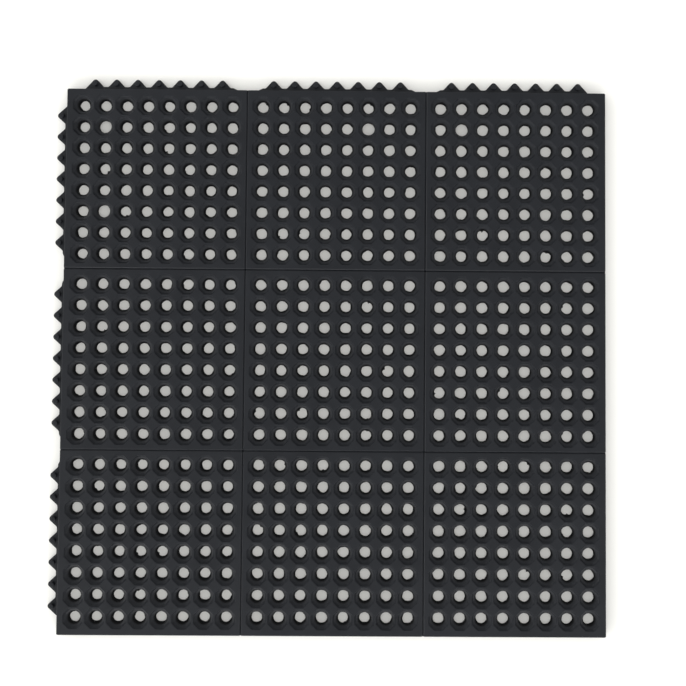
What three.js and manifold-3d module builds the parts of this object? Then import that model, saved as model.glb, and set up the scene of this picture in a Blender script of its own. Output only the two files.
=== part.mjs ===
// Interlocking rubber drainage mat lying flat, in millimetres, +Z up.
// The origin is the middle of the underside. +X is the mat's right and +Y its rear.
// The real mat is one moulding. Shallow V grooves mark square panels off in its top face, and the
// model is split along the middle of the grooves, so each panel is one solid and meets the next
// panels face to face. Toothed tongues run along the left and rear edges.

import * as THREE from "three";
import { mergeVertices } from "three/addons/utils/BufferGeometryUtils.js";
import Module from "manifold-3d";

const wasm = await Module();
wasm.setup();

// Sheet
const panelsPerSide = 3;
const holesPerSide = 8; // along each side of a panel
const holePitch = 36.1; // centre to centre, both ways
const grooveToHole = 25.65; // middle of a groove to the nearest hole centres
const rimWidth = 1.5; // rubber outside the outermost groove lines
const matThickness = 12;

// Holes: an octagonal mouth in the top face narrows evenly to a small octagon in the underside
const holeSides = 8;
const landWidth = 1.9; // rubber left between two mouths
const drainWidth = 17.4; // across the flats in the underside

// V grooves in the top face
const grooveWidth = 3;
const grooveDepth = 1.5;

// Toothed tongues, one for each outer panel side on the left and the rear
const tongueThickness = 5.5;
const valleyReach = 5; // mat's edge to the bottoms of the valleys
const valleyWidth = 8.4; // between the feet of two teeth
const toothReach = 17.8; // mat's edge to the tips
const tipRadius = 5;
const tipSegments = 2; // steps in each half of a tip's arc
const shoulderWidth = 4.6; // flat step outside the last tooth, where the next panel follows
const shoulderRun = 11; // along the edge, from that step back to the mat's edge

// A round peg stands on each tooth
const pegDiameter = 8;
const pegHeight = 4.5; // above the tongue
const pegReach = 10; // mat's edge to the peg's centre
const pegSides = 6;

const overlap = 0.5; // how far cutters pass the faces that they cut, and joined shapes sink in

// Worked out
const panelPitch = (holesPerSide - 1) * holePitch + 2 * grooveToHole;
const panelHalf = panelPitch / 2;
const mouthWidth = holePitch - landWidth;
const teethPerPanel = holesPerSide - 1; // a tooth stands midway between two holes
const toothHalf = (holePitch - valleyWidth) / 2;

const rubber = new THREE.MeshStandardMaterial({ color: 0x2e2f32, roughness: 0.7, metalness: 0 });

// A closed geometry becomes a solid that can be cut and joined
function toSolid(geometry) {
  geometry.deleteAttribute("normal");
  geometry.deleteAttribute("uv");
  const merged = mergeVertices(geometry);
  return new wasm.Manifold(new wasm.Mesh({
    numProp: 3,
    vertProperties: new Float32Array(merged.attributes.position.array),
    triVerts: new Uint32Array(merged.index.array),
  }));
}

function toGeometry(solid) {
  const mesh = solid.getMesh();
  const geometry = new THREE.BufferGeometry();
  geometry.setAttribute("position", new THREE.BufferAttribute(mesh.vertProperties, 3));
  geometry.setIndex(new THREE.BufferAttribute(mesh.triVerts, 1));
  geometry.computeVertexNormals();
  return geometry;
}

// Place of one of several things that are set out evenly about the middle
function evenly(count, pitch, index) {
  return (index - (count - 1) / 2) * pitch;
}

// One hole: an octagonal funnel with its flats facing along X and Y, drawn on past both faces
function holeCutter(x, y) {
  const toCorner = 1 / Math.cos(Math.PI / holeSides);
  const slope = (mouthWidth - drainWidth) / 2 / matThickness;
  const topRadius = (mouthWidth / 2 + slope * overlap) * toCorner;
  const bottomRadius = (drainWidth / 2 - slope * overlap) * toCorner;
  const height = matThickness + 2 * overlap;
  const funnel = new THREE.CylinderGeometry(
    topRadius, bottomRadius, height, holeSides, 1, false, Math.PI / holeSides,
  );
  funnel.rotateX(Math.PI / 2);
  funnel.translate(x, y, matThickness / 2);
  return toSolid(funnel);
}

function holeCutters() {
  const cutters = [];
  for (let row = 0; row < holesPerSide; row += 1) {
    for (let column = 0; column < holesPerSide; column += 1) {
      const x = evenly(holesPerSide, holePitch, column);
      const y = evenly(holesPerSide, holePitch, row);
      cutters.push(holeCutter(x, y));
    }
  }
  return cutters;
}

// A groove's V section run along the rear border of a panel, then turned to the side that it is on
function grooveCutter(turn) {
  const slope = grooveWidth / 2 / grooveDepth;
  const halfTop = grooveWidth / 2 + slope * overlap;
  const section = new THREE.Shape();
  section.moveTo(-halfTop, matThickness + overlap);
  section.lineTo(0, matThickness - grooveDepth);
  section.lineTo(halfTop, matThickness + overlap);
  const length = panelPitch + 2 * (rimWidth + overlap);
  const bar = new THREE.ExtrudeGeometry(section, { depth: length, bevelEnabled: false });
  bar.translate(0, 0, -length / 2);
  bar.rotateX(Math.PI / 2);
  bar.rotateZ(Math.PI / 2);
  bar.translate(0, panelHalf, 0);
  bar.rotateZ(turn);
  return toSolid(bar);
}

// Outline of a toothed tongue. Its x runs along the mat's edge, and y goes out from the edge.
// At a corner of the mat the last tooth's flank runs straight down to the edge. Elsewhere a flat
// step follows the last tooth, and a slope leads from it back to the edge.
function tongueShape(startsAtCorner, endsAtCorner) {
  const tipCentre = toothReach - tipRadius;
  const rise = tipCentre - valleyReach;
  const toCentre = Math.hypot(toothHalf, rise);
  const flankAngle = Math.atan2(rise, toothHalf) + Math.asin(tipRadius / toCentre);
  const lastFoot = evenly(teethPerPanel, holePitch, teethPerPanel - 1) + toothHalf;
  const cornerEnd = lastFoot + valleyReach / Math.tan(flankAngle);
  const stepEnd = lastFoot + shoulderWidth + shoulderRun;
  const start = startsAtCorner ? cornerEnd : stepEnd;
  const end = endsAtCorner ? cornerEnd : stepEnd;
  const shape = new THREE.Shape();
  shape.moveTo(-start, 0);
  if (!startsAtCorner) {
    shape.lineTo(-lastFoot - shoulderWidth, valleyReach);
  }
  for (let tooth = 0; tooth < teethPerPanel; tooth += 1) {
    const centre = evenly(teethPerPanel, holePitch, tooth);
    shape.lineTo(centre - toothHalf, valleyReach);
    shape.absarc(centre, tipCentre, tipRadius, Math.PI / 2 + flankAngle, Math.PI / 2 - flankAngle, true);
    shape.lineTo(centre + toothHalf, valleyReach);
  }
  if (!endsAtCorner) {
    shape.lineTo(lastFoot + shoulderWidth, valleyReach);
  }
  shape.lineTo(end, 0);
  shape.lineTo(end, -overlap);
  shape.lineTo(-start, -overlap);
  return shape;
}

// The tongue with its pegs, along the rear edge of a panel and then turned to its side
function tongueSolid(turn, startsAtCorner, endsAtCorner) {
  const edge = panelHalf + rimWidth;
  const plate = new THREE.ExtrudeGeometry(tongueShape(startsAtCorner, endsAtCorner), {
    depth: tongueThickness,
    bevelEnabled: false,
    curveSegments: tipSegments,
  });
  plate.translate(0, edge, 0);
  plate.rotateZ(turn);
  let tongue = toSolid(plate);
  for (let tooth = 0; tooth < teethPerPanel; tooth += 1) {
    const along = evenly(teethPerPanel, holePitch, tooth);
    const height = pegHeight + overlap;
    const peg = new THREE.CylinderGeometry(pegDiameter / 2, pegDiameter / 2, height, pegSides);
    peg.rotateX(Math.PI / 2);
    peg.translate(along, edge + pegReach, tongueThickness - overlap + height / 2);
    peg.rotateZ(turn);
    tongue = tongue.add(toSolid(peg));
  }
  return tongue;
}

const right = -Math.PI / 2;
const rear = 0;
const left = Math.PI / 2;
const front = Math.PI;

const holes = holeCutters();

// One panel about its own middle, with what each of its four sides has there
function panelSolid(row, column) {
  const last = panelsPerSide - 1;
  const low = { x: column === 0 ? rimWidth : 0, y: row === last ? rimWidth : 0 };
  const high = { x: column === last ? rimWidth : 0, y: row === 0 ? rimWidth : 0 };
  const slab = new THREE.BoxGeometry(
    panelPitch + low.x + high.x, panelPitch + low.y + high.y, matThickness,
  );
  slab.translate((high.x - low.x) / 2, (high.y - low.y) / 2, matThickness / 2);
  let panel = toSolid(slab);
  for (const hole of holes) {
    panel = panel.subtract(hole);
  }
  if (column < last) {
    panel = panel.subtract(grooveCutter(right));
  }
  if (row > 0) {
    panel = panel.subtract(grooveCutter(rear));
  }
  if (column > 0) {
    panel = panel.subtract(grooveCutter(left));
  }
  if (row < last) {
    panel = panel.subtract(grooveCutter(front));
  }
  if (column === 0) {
    panel = panel.add(tongueSolid(left, row === last, row === 0));
  }
  if (row === 0) {
    panel = panel.add(tongueSolid(rear, column === 0, column === last));
  }
  return panel;
}

const mat = new THREE.Group();
mat.name = "drainage_mat";

// Row 1 is at the rear and column 1 at the left
for (let row = 0; row < panelsPerSide; row += 1) {
  for (let column = 0; column < panelsPerSide; column += 1) {
    const panel = new THREE.Mesh(toGeometry(panelSolid(row, column)), rubber);
    panel.name = `panel_row${row + 1}_column${column + 1}`;
    panel.position.x = evenly(panelsPerSide, panelPitch, column);
    panel.position.y = -evenly(panelsPerSide, panelPitch, row);
    mat.add(panel);
  }
}

export default mat;
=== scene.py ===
# Interlocking rubber drainage mat: nine moulded panels, their holes, grooves, tongues and pegs.
import math

import bpy
import numpy as np
from mathutils import Matrix, Quaternion, Vector


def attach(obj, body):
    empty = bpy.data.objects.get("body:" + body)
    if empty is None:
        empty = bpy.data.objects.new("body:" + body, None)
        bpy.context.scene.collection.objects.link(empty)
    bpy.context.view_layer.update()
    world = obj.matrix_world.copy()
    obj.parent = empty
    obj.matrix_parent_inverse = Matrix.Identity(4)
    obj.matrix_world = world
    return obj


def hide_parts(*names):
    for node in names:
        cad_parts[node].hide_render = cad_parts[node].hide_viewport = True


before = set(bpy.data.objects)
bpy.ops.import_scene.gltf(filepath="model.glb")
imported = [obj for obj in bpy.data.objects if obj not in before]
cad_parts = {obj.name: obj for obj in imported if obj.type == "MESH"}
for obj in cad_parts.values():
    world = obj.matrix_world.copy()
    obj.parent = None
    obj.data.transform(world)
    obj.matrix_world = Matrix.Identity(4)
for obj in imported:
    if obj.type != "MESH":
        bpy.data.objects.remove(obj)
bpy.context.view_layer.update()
mm = 0.001

# The sheet as it was built, in millimetres, with its middle at the origin
sheet = {
    "panelsPerSide": 3,
    "holesPerSide": 8,
    "holePitch": 36.1,
    "grooveToHole": 25.65,
    "rimWidth": 1.5,
    "thickness": 12.0,
}
panelPitch = (sheet["holesPerSide"] - 1) * sheet["holePitch"] + 2 * sheet["grooveToHole"]
blockHalf = sheet["holesPerSide"] * sheet["holePitch"] / 2
borderWidth = panelPitch / 2 - blockHalf


# Camera and picture frame

photo = {
    "side": 686,  # pixels, both ways
    "focal": 762.9,  # pixels
    "principal": (380.7, 274.0),  # pixel that lies straight ahead of the lens
    "place": (69.0, 105.0, 1300.0),  # mm, above the mat
    "turn": (1.84, -0.36, 0.45),  # degrees, one rotation about this vector by its length
    "sensor": 36.0,
}


def makeCamera():
    data = bpy.data.cameras.new("photoCamera")
    camera = bpy.data.objects.new("photoCamera", data)
    bpy.context.collection.objects.link(camera)
    side = photo["side"]
    data.sensor_width = photo["sensor"]
    data.lens = photo["focal"] * photo["sensor"] / side
    data.shift_x = (side / 2 - photo["principal"][0]) / side
    data.shift_y = (photo["principal"][1] - side / 2) / side
    data.clip_start = 0.05
    data.clip_end = 50.0
    turn = Vector([math.radians(angle) for angle in photo["turn"]])
    spin = Quaternion(turn.normalized(), turn.length).to_matrix().to_4x4()
    camera.matrix_world = Matrix.Translation(Vector(photo["place"]) * mm) @ spin
    bpy.context.scene.camera = camera


makeCamera()
print("camera made")


# Meshes from arrays

weldCells = 200  # per mm


def weld(points, quads):
    # Points within a few microns become one. Faces that this shrinks to nothing go, and so do
    # points that no face uses.
    keys = np.round(points * weldCells).astype(np.int64)
    _, first, same = np.unique(keys, axis=0, return_index=True, return_inverse=True)
    quads = same.reshape(-1)[quads]
    flat = (quads[:, 0] == quads[:, 2]) | (quads[:, 1] == quads[:, 3])
    used, quads = np.unique(quads[~flat], return_inverse=True)
    return points[first][used], quads.reshape(-1, 4)


def gridQuads(rows, columns, closed):
    # Corner numbers of the faces of a grid of rows by columns, and of its last column to its
    # first where it is closed.
    across = columns if closed else columns - 1
    row, column = np.meshgrid(np.arange(rows - 1), np.arange(across), indexing="ij")
    nextColumn = (column + 1) % columns
    corners = [row * columns + column, row * columns + nextColumn,
               (row + 1) * columns + nextColumn, (row + 1) * columns + column]
    return np.stack([c.reshape(-1) for c in corners], axis=1)


def copyFaces(quads, copies, pointsEach):
    # Corner numbers of the same faces on several copies of a shape, one copy after another.
    firsts = np.arange(copies) * pointsEach
    return (quads[None] + firsts[:, None, None]).reshape(-1, 4)


def makeObject(name, points, quads):
    # Quads with two corners alike, which are left where a fan closes, lose the spare corner.
    mesh = bpy.data.meshes.new(name)
    spare = quads == np.roll(quads, -1, axis=1)
    counts = 4 - spare.sum(axis=1)
    loops = quads[~spare]
    mesh.vertices.add(len(points))
    mesh.vertices.foreach_set("co", (points * mm).astype(np.float32).reshape(-1))
    mesh.loops.add(len(loops))
    mesh.loops.foreach_set("vertex_index", loops.astype(np.int32))
    mesh.polygons.add(len(quads))
    starts = np.concatenate([[0], np.cumsum(counts)[:-1]])
    mesh.polygons.foreach_set("loop_start", starts.astype(np.int32))
    mesh.update(calc_edges=True)
    mesh.validate()
    thing = bpy.data.objects.new(name, mesh)
    bpy.context.collection.objects.link(thing)
    return thing


def evenly(count, pitch):
    return (np.arange(count) - (count - 1) / 2) * pitch


# One hole in its square cell

hole = {
    "steps": 48,  # points round each ring, so that corners of squares and octagons fall on points
    "landWidth": 1.9,
    "mouthRound": 0.55,
    "flatRim": 0.5,  # a flat strip round each mouth, which keeps the land's shading flat
    "mouthEase": 0.1,  # outside the mouth, where the top face starts to turn down
    "pocketFloorWidth": 29.0,  # across the flats
    "pocketDepth": 4.1,
    "pocketFall": 1.3,  # the pocket's floor slopes down to the bore by this much
    "cornerTrim": 0.985,  # how far the octagons' corners reach, against sharp ones
    "floorFillet": 0.9,
    "boreRadius": 10.9,
    "boreRound": 0.6,
    "boreDraft": 0.25,  # narrower at the bottom
    "lipTop": 0.9,
    "lipThickness": 0.35,
    "lipBevel": 0.12,
    "drainRadius": (8.35, 8.75, 8.95),  # mean radius inside the flash, by column of panels
    "radiusSpread": 0.022,  # from hole to hole, as a share of the radius
    # Waves of the flash's edge: how many to a turn, and how high as a share of the radius
    "waves": ((1, 0.022), (2, 0.032), (3, 0.026), (4, 0.018), (5, 0.014), (7, 0.010), (11, 0.006)),
    "waveStrength": (0.3, 1.3),  # least and most, times those heights
    "nickDepth": 0.065,  # typical, inward or outward, as a share of the radius
    "nickWidth": (0.12, 0.34),  # radians, least and most
    "flap": 0.26,  # how far a flap of flash reaches in, as a share of the radius
    "flapShare": 0.07,  # of the holes
    "wallGap": 0.25,  # from the widest opening to the bore's wall
    "bareWaves": 0.25,  # share of the waves that is left where the flash is lost
    "seed": 41,
}
angles = np.arange(hole["steps"]) * 2 * np.pi / hole["steps"]


def polygonRadius(sides, halfWidth):
    # A regular polygon's reach at each angle, with a flat facing along X: its half width over the
    # cosine of the angle to the middle of the nearest flat.
    wedge = 2 * np.pi / sides
    fromFlat = (angles + wedge / 2) % wedge - wedge / 2
    return halfWidth / np.cos(fromFlat)


def octagonRadius(halfWidth):
    corner = halfWidth / np.cos(np.pi / 8)
    return np.minimum(polygonRadius(8, halfWidth), corner * hole["cornerTrim"])


def lipRadii(count, rng, bare, drainRadius):
    # The ragged opening left by the flash, for each hole: a mean radius that varies from hole to
    # hole, low waves round it at random phases, and one nick or tab in a random place, which in a
    # few holes is a flap that reaches far in. Bare holes are open nearly to the bore's wall.
    mean = drainRadius * rng.normal(1.0, hole["radiusSpread"], (count, 1))
    radius = np.ones((count, hole["steps"]))
    for wave, height in hole["waves"]:
        phase = rng.uniform(0, 2 * np.pi, (count, 1))
        strength = rng.uniform(*hole["waveStrength"], (count, 1)) * height
        radius += strength * np.cos(wave * angles + phase)
    where = rng.uniform(0, 2 * np.pi, (count, 1))
    spread = rng.uniform(*hole["nickWidth"], (count, 1))
    depth = rng.normal(0.0, hole["nickDepth"], (count, 1))
    depth -= hole["flap"] * (rng.uniform(0, 1, (count, 1)) < hole["flapShare"])
    away = (angles - where + np.pi) % (2 * np.pi) - np.pi
    radius += depth * np.exp(-(away / spread) ** 2)
    radius *= mean
    widest = hole["boreRadius"] - hole["boreDraft"] - hole["wallGap"]
    radius[bare] = widest + hole["bareWaves"] * (radius[bare] / mean[bare] - 1) * drainRadius
    return np.minimum(radius, widest)


def holeRings(lips):
    # Rings from the cell's border on the top face, over the mouth's rounded edge, down the
    # pocket's wall, along its sloping floor, down the bore, in over the lip and out again to the
    # cell's border on the underside.
    top = sheet["thickness"]
    pocket = top - hole["pocketDepth"]
    brink = pocket - hole["pocketFall"]
    halfCell = sheet["holePitch"] / 2
    mouth = halfCell - hole["landWidth"] / 2
    floorHalf = hole["pocketFloorWidth"] / 2
    bore = hole["boreRadius"]
    foot = bore - hole["boreDraft"]
    edge = hole["mouthRound"]
    fillet = hole["floorFillet"]
    turn = hole["boreRound"]
    square = polygonRadius(4, halfCell)
    ones = np.ones(hole["steps"])
    fixed = [
        (square, top),
        (octagonRadius(mouth + hole["flatRim"]), top),
        (octagonRadius(mouth + hole["mouthEase"]), top),
        (octagonRadius(mouth - 0.3 * edge), top - 0.3 * edge),
        (octagonRadius(mouth - 0.55 * edge), top - edge),
        (octagonRadius(floorHalf + 0.25 * fillet), pocket + fillet),
        (octagonRadius(floorHalf - 0.3 * fillet), pocket + 0.25 * fillet),
        (octagonRadius(floorHalf - fillet), pocket),
        (ones * (bore + turn), brink),
        (ones * (bore + 0.2 * turn), brink - 0.25 * turn),
        (ones * bore, brink - turn),
        (ones * foot, hole["lipTop"]),
    ]
    count = len(lips)
    radii = [np.broadcast_to(radius, (count, hole["steps"])) for radius, _ in fixed]
    heights = [np.full((count, hole["steps"]), height) for _, height in fixed]
    lip = hole["lipThickness"]
    bevel = hole["lipBevel"]
    radii += [lips + 0.35 * (foot - lips), lips, lips + bevel, np.broadcast_to(square, lips.shape)]
    heights += [np.full(lips.shape, level) for level in (lip + bevel, 0.6 * lip, 0.0, 0.0)]
    radii = np.stack(radii, axis=1)
    heights = np.stack(heights, axis=1)
    return np.stack([radii * np.cos(angles), radii * np.sin(angles), heights], axis=-1)


# The border of a panel, from its block of cells out to its sides

border = {
    "grooveReach": 2.3,  # from the groove's middle to where its shoulder starts
    "grooveDepth": 2.0,
    "groovePower": 1.1,  # 1 is a plain V, and more eases its shoulders
    "edgeRound": 0.8,
    "footRound": 0.35,
    "cornerRadius": 2.6,
    "wallRows": 3,
}


def acrossLines(plain):
    # Distances out from the block, at a plain outer side or at a groove, close together where the
    # surface turns.
    if plain:
        outer = borderWidth + sheet["rimWidth"]
        turn = border["edgeRound"]
        return outer - np.array([outer, border["cornerRadius"], turn, 0.45 * turn, 0.12 * turn, 0])
    reach = border["grooveReach"]
    rim = reach + hole["flatRim"]
    return borderWidth - np.array([borderWidth, rim, reach, 0.62 * reach, 0.3 * reach, 0])


def gridLines(lowPlain, highPlain):
    halfCell = sheet["holePitch"] / 2
    perSide = hole["steps"] // 4
    inCell = halfCell * np.tan((np.arange(perSide + 1) - perSide / 2) * 2 * np.pi / hole["steps"])
    centres = evenly(sheet["holesPerSide"], sheet["holePitch"])
    inner = np.concatenate([(centre + inCell)[:-1] for centre in centres] + [[blockHalf]])
    low = -blockHalf - acrossLines(lowPlain)[:0:-1]
    high = blockHalf + acrossLines(highPlain)[1:]
    return np.concatenate([low, inner, high])


def sideDrop(along, plain):
    # How far the top face has dropped at a distance inside a side: a quarter circle at a plain
    # side, and a V with an easy shoulder at a groove.
    if plain:
        turn = border["edgeRound"]
        inside = np.clip(along, 0, turn)
        return turn - np.sqrt(turn**2 - (turn - inside) ** 2)
    near = np.clip(1 - along / border["grooveReach"], 0, 1)
    return border["grooveDepth"] * near ** border["groovePower"]


def sideRise(along, plain):
    turn = border["footRound"]
    return np.clip(turn - along, 0, turn) if plain else np.zeros_like(along)


def roundCorners(points, reach, plain):
    # At a corner between two plain sides a small square is pressed into a quarter disc.
    # Each coordinate is shortened by the root of one less half the other's square.
    radius = border["cornerRadius"]
    for signX in (-1, 1):
        for signY in (-1, 1):
            if not (plain[0, signX] and plain[1, signY]):
                continue
            u = (signX * points[:, 0] - reach[0, signX] + radius) / radius
            v = (signY * points[:, 1] - reach[1, signY] + radius) / radius
            inside = (u > 0) & (v > 0)
            pressedU = u * np.sqrt(np.clip(1 - v**2 / 2, 0, 1))
            pressedV = v * np.sqrt(np.clip(1 - u**2 / 2, 0, 1))
            points[inside, 0] = signX * (reach[0, signX] - radius + radius * pressedU[inside])
            points[inside, 1] = signY * (reach[1, signY] - radius + radius * pressedV[inside])
    return points


def borderShell(plain):
    # Top and underside of the border as two grids with the block of cells left out, joined round
    # the outside by a wall.
    lines = [gridLines(plain[axis, -1], plain[axis, 1]) for axis in (0, 1)]
    reach = {}
    for axis in (0, 1):
        reach[axis, -1] = abs(lines[axis][0])
        reach[axis, 1] = abs(lines[axis][-1])
    x, y = np.meshgrid(lines[0], lines[1], indexing="ij")
    drop = np.zeros_like(x)
    rise = np.zeros_like(x)
    for (axis, sign), value in reach.items():
        along = value - sign * (x, y)[axis]
        drop += sideDrop(along, plain[axis, sign])
        rise = np.maximum(rise, sideRise(along, plain[axis, sign]))
    top = np.stack([x, y, sheet["thickness"] - drop], axis=-1)
    under = np.stack([x, y, rise], axis=-1)
    quads = gridQuads(*x.shape, False)
    middle = (np.stack([x, y], axis=-1).reshape(-1, 2))[quads].mean(axis=1)
    outside = (np.abs(middle) > blockHalf).any(axis=1)
    quads = quads[outside]
    size = x.size
    index = np.arange(size).reshape(x.shape)
    loop = np.concatenate([index[:-1, 0], index[-1, :-1], index[:0:-1, -1], index[0, :0:-1]])
    share = np.linspace(0, 1, border["wallRows"])[:, None, None]
    wall = under.reshape(-1, 3)[loop] * (1 - share) + top.reshape(-1, 3)[loop] * share
    points = np.concatenate([top.reshape(-1, 3), under.reshape(-1, 3), wall.reshape(-1, 3)])
    faces = np.concatenate([
        quads[:, ::-1],
        quads + size,
        gridQuads(border["wallRows"], len(loop), True) + 2 * size,
    ])
    return roundCorners(points, reach, plain), faces, reach


# Toothed tongues and their pegs

tongue = {
    "thickness": 5.5,
    "valleyReach": 5.0,
    "valleyWidth": 8.4,
    "valleyRound": 4.0,
    "toothReach": 17.8,
    "tipRadius": 5.0,
    "shoulderWidth": 4.6,
    "shoulderRun": 11.0,
    "edgeRound": 0.7,
    "sink": 1.0,  # into the panel's side
    "step": 1.05,  # along the edge
}
peg = {
    "radius": 4.0,
    "height": 4.5,
    "reach": 10.0,
    "round": 0.8,
    "steps": 28,
    "sink": 1.0,
}


def toothForm():
    # Half a tooth's width at its feet, the angle of its flanks, and the last foot's distance from
    # the middle of the panel's side.
    half = (sheet["holePitch"] - tongue["valleyWidth"]) / 2
    rise = tongue["toothReach"] - tongue["tipRadius"] - tongue["valleyReach"]
    flank = math.atan2(rise, half) + math.asin(tongue["tipRadius"] / math.hypot(half, rise))
    lastFoot = (sheet["holesPerSide"] / 2 - 1) * sheet["holePitch"] + half
    return half, flank, lastFoot


def toothReach(along, corners):
    # How far the tongue reaches out at each place along the edge. A tooth is an arc at the tip, a
    # straight flank and a hollow arc at the foot. At a corner of the mat the last flank runs
    # straight down to the edge. Elsewhere a flat step and then a slope follow it.
    half, flank, lastFoot = toothForm()
    valley = tongue["valleyReach"]
    hollowRadius = tongue["valleyRound"]
    tipRadius = tongue["tipRadius"]
    teeth = evenly(sheet["holesPerSide"] - 1, sheet["holePitch"])
    nearest = np.abs(along[:, None] - teeth).min(axis=1)
    tip = tongue["toothReach"] - tipRadius + np.sqrt(np.clip(tipRadius**2 - nearest**2, 0, None))
    slope = valley + (half - nearest) * math.tan(flank)
    hollowEnd = half + hollowRadius * math.tan(flank / 2)
    hollowStart = hollowEnd - hollowRadius * math.sin(flank)
    dip = np.sqrt(np.clip(hollowRadius**2 - (hollowEnd - nearest) ** 2, 0, None))
    hollow = valley + hollowRadius - dip
    choices = [nearest < tipRadius * math.sin(flank), nearest < hollowStart, nearest < hollowEnd]
    reach = np.select(choices, [tip, slope, hollow], valley)
    past = np.abs(along) - lastFoot - tongue["shoulderWidth"]
    share = np.clip(past / tongue["shoulderRun"], 0, 1)
    reach = np.where(past > 0, valley * (1 - share), reach)
    atCorner = np.where(along < 0, corners[0], corners[1]) & (np.abs(along) > lastFoot - half / 2)
    return np.where(atCorner, np.clip(slope, 0, None), reach)


def tongueShell(edge, corners):
    # At each place along the edge a loop runs out over the top, round the outer edge and back
    # below. The rounded rows are set in along the outline's own normal.
    _, flank, lastFoot = toothForm()
    cornerEnd = lastFoot + tongue["valleyReach"] / math.tan(flank)
    stepEnd = lastFoot + tongue["shoulderWidth"] + tongue["shoulderRun"]
    start, end = (cornerEnd if corner else stepEnd for corner in corners)
    along = np.linspace(-start, end, int((start + end) / tongue["step"]) + 1)
    reach = toothReach(along, corners)
    slope = np.gradient(reach, along)
    length = np.sqrt(1 + slope**2)
    normal = np.stack([-slope / length, 1 / length], axis=1)
    outline = np.stack([along, reach], axis=1)
    turn = tongue["edgeRound"]
    top = tongue["thickness"]
    rows = []
    inner = np.stack([along, np.full_like(along, -tongue["sink"])], axis=1)
    rim = [
        (turn, top), (0.5 * turn, top - 0.13 * turn), (0.13 * turn, top - 0.5 * turn), (0, top - turn),
        (0, 0.45 * turn), (0.45 * turn, 0),
    ]
    shelf = outline - normal * turn
    for share in (0, 0.5):
        flat = inner * (1 - share) + shelf * share
        rows.append(np.column_stack([flat, np.full_like(along, top)]))
    for inset, height in rim:
        rows.append(np.column_stack([outline - normal * inset, np.full_like(along, height)]))
    rows.append(np.column_stack([inner, np.zeros_like(along)]))
    shell = np.stack(rows, axis=1)
    shell[..., 1] = np.maximum(shell[..., 1], -tongue["sink"])
    count = len(rows)
    points = shell.reshape(-1, 3)
    faces = gridQuads(len(along), count, True)[:, ::-1]
    # The two ends lie inside the panel. Each is closed by a strip folded down its loop.
    ends = []
    for first in (0, (len(along) - 1) * count):
        step = np.arange((count - 1) // 2)
        low = first + step
        high = first + count - 1 - step
        strip = np.stack([low, low + 1, high - 1, high], axis=1)
        ends.append(strip[:, ::-1] if first else strip)
    return points + np.array([0, edge, 0]), np.concatenate([faces] + ends)


def pegShells(edge):
    # A profile turned about the peg's axis: up from inside the tongue, round the top edge and in
    # to the middle. Both poles are closed by fans.
    radius = peg["radius"]
    turn = peg["round"]
    top = tongue["thickness"] + peg["height"]
    profile = np.array([
        (0, tongue["thickness"] - peg["sink"]),
        (radius, tongue["thickness"] - peg["sink"]),
        (radius, tongue["thickness"]),
        (radius, top - turn),
        (radius - 0.13 * turn, top - 0.5 * turn),
        (radius - 0.5 * turn, top - 0.13 * turn),
        (radius - turn, top),
        (0.45 * radius, top),
        (0, top),
    ])
    spin = np.arange(peg["steps"]) * 2 * np.pi / peg["steps"]
    ring = profile[:, None, :1] * np.stack([np.cos(spin), np.sin(spin)], axis=-1)[None]
    height = np.broadcast_to(profile[:, None, 1:], ring.shape[:2] + (1,))
    one = np.concatenate([ring, height], axis=-1).reshape(-1, 3)
    quads = gridQuads(len(profile), peg["steps"], True)
    places = evenly(sheet["holesPerSide"] - 1, sheet["holePitch"])
    shift = np.column_stack([places, np.full_like(places, edge + peg["reach"]), np.zeros_like(places)])
    points = (one[None] + shift[:, None]).reshape(-1, 3)
    return points, copyFaces(quads, len(places), len(one))


def turned(points, quarter):
    # A shape drawn along the rear side is carried to the left one by a quarter turn.
    return np.column_stack([-points[:, 1], points[:, 0], points[:, 2]]) if quarter else points


# Panels

bareHoles = {(0, 0): [9, 41], (0, 1): [13], (0, 2): [9]}  # panel to holes that lost their flash
sharpAngle = 32  # degrees, past which an edge is shaded sharp


def joinShapes(body, extras):
    for extra in extras:
        union = body.modifiers.new("join", "BOOLEAN")
        union.operation = "UNION"
        union.solver = "MANIFOLD"
        union.object = extra
    bpy.context.view_layer.update()
    graph = bpy.context.evaluated_depsgraph_get()
    joined = bpy.data.meshes.new_from_object(body.evaluated_get(graph))
    body.modifiers.clear()
    body.data = joined
    for extra in extras:
        bpy.data.objects.remove(extra)


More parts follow.
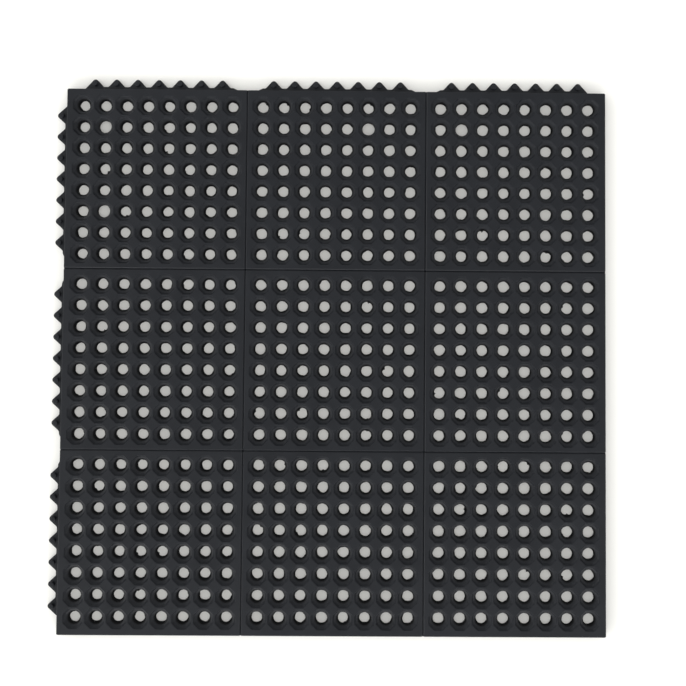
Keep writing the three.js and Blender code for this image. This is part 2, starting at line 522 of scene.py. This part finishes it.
def makePanel(row, column):
    last = sheet["panelsPerSide"] - 1
    plain = {(0, -1): column == 0, (0, 1): column == last, (1, -1): row == last, (1, 1): row == 0}
    centre = np.array([(column - last / 2) * panelPitch, (last / 2 - row) * panelPitch, 0])
    rng = np.random.default_rng(hole["seed"] + row * sheet["panelsPerSide"] + column)
    count = sheet["holesPerSide"] ** 2
    bare = np.zeros(count, bool)
    bare[bareHoles.get((row, column), [])] = True
    rings = holeRings(lipRadii(count, rng, bare, hole["drainRadius"][column]))
    places = evenly(sheet["holesPerSide"], sheet["holePitch"])
    cellX, cellY = np.meshgrid(places, -places)
    rings[..., 0] += cellX.reshape(-1, 1, 1)
    rings[..., 1] += cellY.reshape(-1, 1, 1)
    ringCount = rings.shape[1]
    one = gridQuads(ringCount, hole["steps"], True)
    holeFaces = copyFaces(one, count, ringCount * hole["steps"])
    edgePoints, edgeFaces, reach = borderShell(plain)
    points = np.concatenate([rings.reshape(-1, 3), edgePoints])
    quads = np.concatenate([holeFaces, edgeFaces + rings.size // 3])
    points, quads = weld(points, quads)
    name = f"panel_row{row + 1}_column{column + 1}"
    body = makeObject(name + "_rubber", points + centre, quads)
    extras = []
    rear = (1, 1)
    left = (0, -1)
    for side, corners in ((left, (row == last, row == 0)), (rear, (column == 0, column == last))):
        if not plain[side]:
            continue
        for shape, faces in (tongueShell(reach[side], corners), pegShells(reach[side])):
            shape, faces = weld(shape, faces)
            extras.append(makeObject("extra", turned(shape, side == left) + centre, faces))
    if extras:
        joinShapes(body, extras)
    mesh = body.data
    mesh.shade_smooth()
    mesh.set_sharp_from_angle(angle=math.radians(sharpAngle))
    return body, name


panels = []
for row in range(sheet["panelsPerSide"]):
    for column in range(sheet["panelsPerSide"]):
        panels.append(makePanel(row, column))
print("panels made")


# Materials

class Shader:
    # A node tree with one way to add a node: its settings first, then its sockets' values or links.
    def __init__(self, tree):
        self.tree = tree

    def add(self, kind, settings=None, output=0, **sockets):
        node = self.tree.nodes.new(kind)
        for key, value in (settings or {}).items():
            setattr(node, key, value)
        for key, value in sockets.items():
            name = key.replace("_", " ")
            socket = node.inputs[int(key[1:])] if key[1:].isdigit() else node.inputs[name]
            if isinstance(value, Wire):
                self.tree.links.new(value.socket, socket)
            else:
                socket.default_value = value
        return Wire(self, node.outputs[output]) if node.outputs else None

    def noise(self, place, form):
        scale, detail, roughness = form
        return self.add(
            "ShaderNodeTexNoise", Vector=place, Scale=scale, Detail=detail, Roughness=roughness,
        )

    def blend(self, factor, first, second):
        return self.add(
            "ShaderNodeMix", {"data_type": "RGBA"}, output=2, n0=factor, n6=first, n7=second,
        )

    def split(self, place):
        parts = self.tree.nodes.new("ShaderNodeSeparateXYZ")
        self.tree.links.new(place.socket, parts.inputs[0])
        return [Wire(self, output) for output in parts.outputs]


class Wire:
    # A socket that reads as a number in an expression.
    def __init__(self, shader, socket):
        self.shader = shader
        self.socket = socket

    def math(self, operation, first, second):
        return self.shader.add("ShaderNodeMath", {"operation": operation}, n0=first, n1=second)

    def __add__(self, other):
        return self.math("ADD", self, other)

    def __radd__(self, other):
        return self.math("ADD", other, self)

    def __sub__(self, other):
        return self.math("SUBTRACT", self, other)

    def __rsub__(self, other):
        return self.math("SUBTRACT", other, self)

    def __mul__(self, other):
        return self.math("MULTIPLY", self, other)


rubberLook = {
    "dark": (0.0052, 0.0062, 0.0084, 1),
    "pale": (0.0086, 0.0101, 0.0131, 1),
    "hollow": (0.0048, 0.0052, 0.0062, 1),  # painted shade: a darker colour inside the bores, where they lie in shade
    "patches": (14.0, 4.0, 0.6),  # scale per metre, detail and roughness, as the next two
    "specks": (420.0, 3.0, 0.6),
    "grain": (2200.0, 2.0, 0.5),
    "bloomStart": 0.35,  # of the patches' noise
    "bloomFull": 0.7,
    "bloomTone": 0.6,  # share of the way from dark to pale
    "speckTone": 0.4,
    "specular": 0.232,
    "roughness": 0.44,
    "bloomRoughness": 0.16,  # added
    "speckRoughness": 0.2,
    "bumpStrength": 0.6,
    "bumpDistance": 0.0004,  # metres
    "hollowRoughness": 0.78,
    "hollowTop": 7.2,  # mm, where the bores' painted shade and higher roughness start
    "hollowFade": 1.2,
    "edgeMargin": 6.0,  # mm, left out of the painted shade and roughness along the mat's edges
}


def rubberMaterial():
    # Dark rubber with paler patches, specks and a fine grain. In the bores it is rougher, and its
    # colour is darkened there as painted shade. The bores lie below the pockets' floors and inside
    # the body, clear of the tongues.
    look = rubberLook
    material = bpy.data.materials.new("moulded_rubber")
    material.use_nodes = True
    material.node_tree.nodes.clear()
    shader = Shader(material.node_tree)
    place = shader.add("ShaderNodeTexCoord", output=3)
    patches = shader.noise(place, look["patches"])
    specks = shader.noise(place, look["specks"])
    grain = shader.noise(place, look["grain"])
    start = look["bloomStart"]
    bloom = shader.add("ShaderNodeMapRange", Value=patches, From_Min=start, From_Max=look["bloomFull"])
    tone = bloom * look["bloomTone"] + specks * look["speckTone"]
    colour = shader.blend(tone, look["dark"], look["pale"])
    x, y, z = shader.split(place)
    fadeTop = look["hollowTop"] * mm
    fadeEnd = fadeTop - look["hollowFade"] * mm
    hollow = shader.add("ShaderNodeMapRange", Value=z, From_Min=fadeTop, From_Max=fadeEnd)
    bodyHalf = (sheet["panelsPerSide"] / 2 * panelPitch - look["edgeMargin"]) * mm
    for across in (x, y):
        aside = shader.add("ShaderNodeMath", {"operation": "ABSOLUTE"}, n0=across)
        hollow = hollow * aside.math("LESS_THAN", aside, bodyHalf)
    # Painted shade: the rubber's colour turns darker down inside the bores.
    colour = shader.blend(hollow, colour, look["hollow"])
    roughness = look["roughness"] + bloom * look["bloomRoughness"]
    roughness = roughness + (specks - 0.5) * look["speckRoughness"]
    roughness = roughness + hollow * (look["hollowRoughness"] - look["roughness"])
    height = specks * 0.5 + grain * 0.5
    strength = look["bumpStrength"]
    bump = shader.add("ShaderNodeBump", Height=height, Strength=strength, Distance=look["bumpDistance"])
    surface = shader.add(
        "ShaderNodeBsdfPrincipled", Base_Color=colour, Roughness=roughness, Normal=bump,
        Specular_IOR_Level=look["specular"],
    )
    shader.add("ShaderNodeOutputMaterial", Surface=surface)
    return material


rubber = rubberMaterial()
for panel, name in panels:
    panel.data.materials.clear()
    panel.data.materials.append(rubber)
    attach(panel, "root")
    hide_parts(name)
print("rubber on")


# Floor and light

room = {
    "floorRadius": 6.0,  # metres
    "floorSteps": 96,
    "floorColour": (0.86, 0.855, 0.82, 1),
    "sky": 0.80,
    "band": 3.2,
    "bandLow": 9.0,  # degrees above the floor
    "bandHigh": 28.0,
    "bandEdge": 0.05,
    "bandTilt": (-0.45, -0.70),  # how much brighter it gets towards +X and +Y
}


def makeFloor():
    steps = room["floorSteps"]
    spin = np.arange(steps) * 2 * np.pi / steps
    ring = np.column_stack([np.cos(spin), np.sin(spin), np.zeros_like(spin)]) * room["floorRadius"]
    mesh = bpy.data.meshes.new("floor")
    mesh.from_pydata([tuple(p) for p in ring], [], [tuple(range(steps))])
    floor = bpy.data.objects.new("floor", mesh)
    bpy.context.collection.objects.link(floor)
    material = bpy.data.materials.new("pale_floor")
    material.use_nodes = True
    material.node_tree.nodes.clear()
    shader = Shader(material.node_tree)
    surface = shader.add("ShaderNodeBsdfDiffuse", Color=room["floorColour"])
    shader.add("ShaderNodeOutputMaterial", Surface=surface)
    mesh.materials.append(material)


def makeSky():
    # An even sky with a brighter band round it, as soft boxes would stand, strongest at the
    # front left.
    world = bpy.data.worlds.new("studio")
    bpy.context.scene.world = world
    world.use_nodes = True
    world.node_tree.nodes.clear()
    shader = Shader(world.node_tree)
    way = shader.add("ShaderNodeTexCoord", output=0)
    low = math.sin(math.radians(room["bandLow"]))
    high = math.sin(math.radians(room["bandHigh"]))
    x, y, z = shader.split(way)
    soft = room["bandEdge"]
    tiltX, tiltY = room["bandTilt"]
    rise = shader.add("ShaderNodeMapRange", Value=z, From_Min=low - soft, From_Max=low + soft)
    fall = shader.add("ShaderNodeMapRange", Value=z, From_Min=high - soft, From_Max=high + soft)
    side = 1.0 + x * tiltX + y * tiltY
    strength = rise * (1 - fall) * side * room["band"] + room["sky"]
    light = shader.add("ShaderNodeBackground", Color=(1, 1, 1, 1), Strength=strength)
    shader.add("ShaderNodeOutputWorld", Surface=light)


makeFloor()
makeSky()
bpy.context.scene.view_settings.view_transform = "Standard"
print("floor and light made")
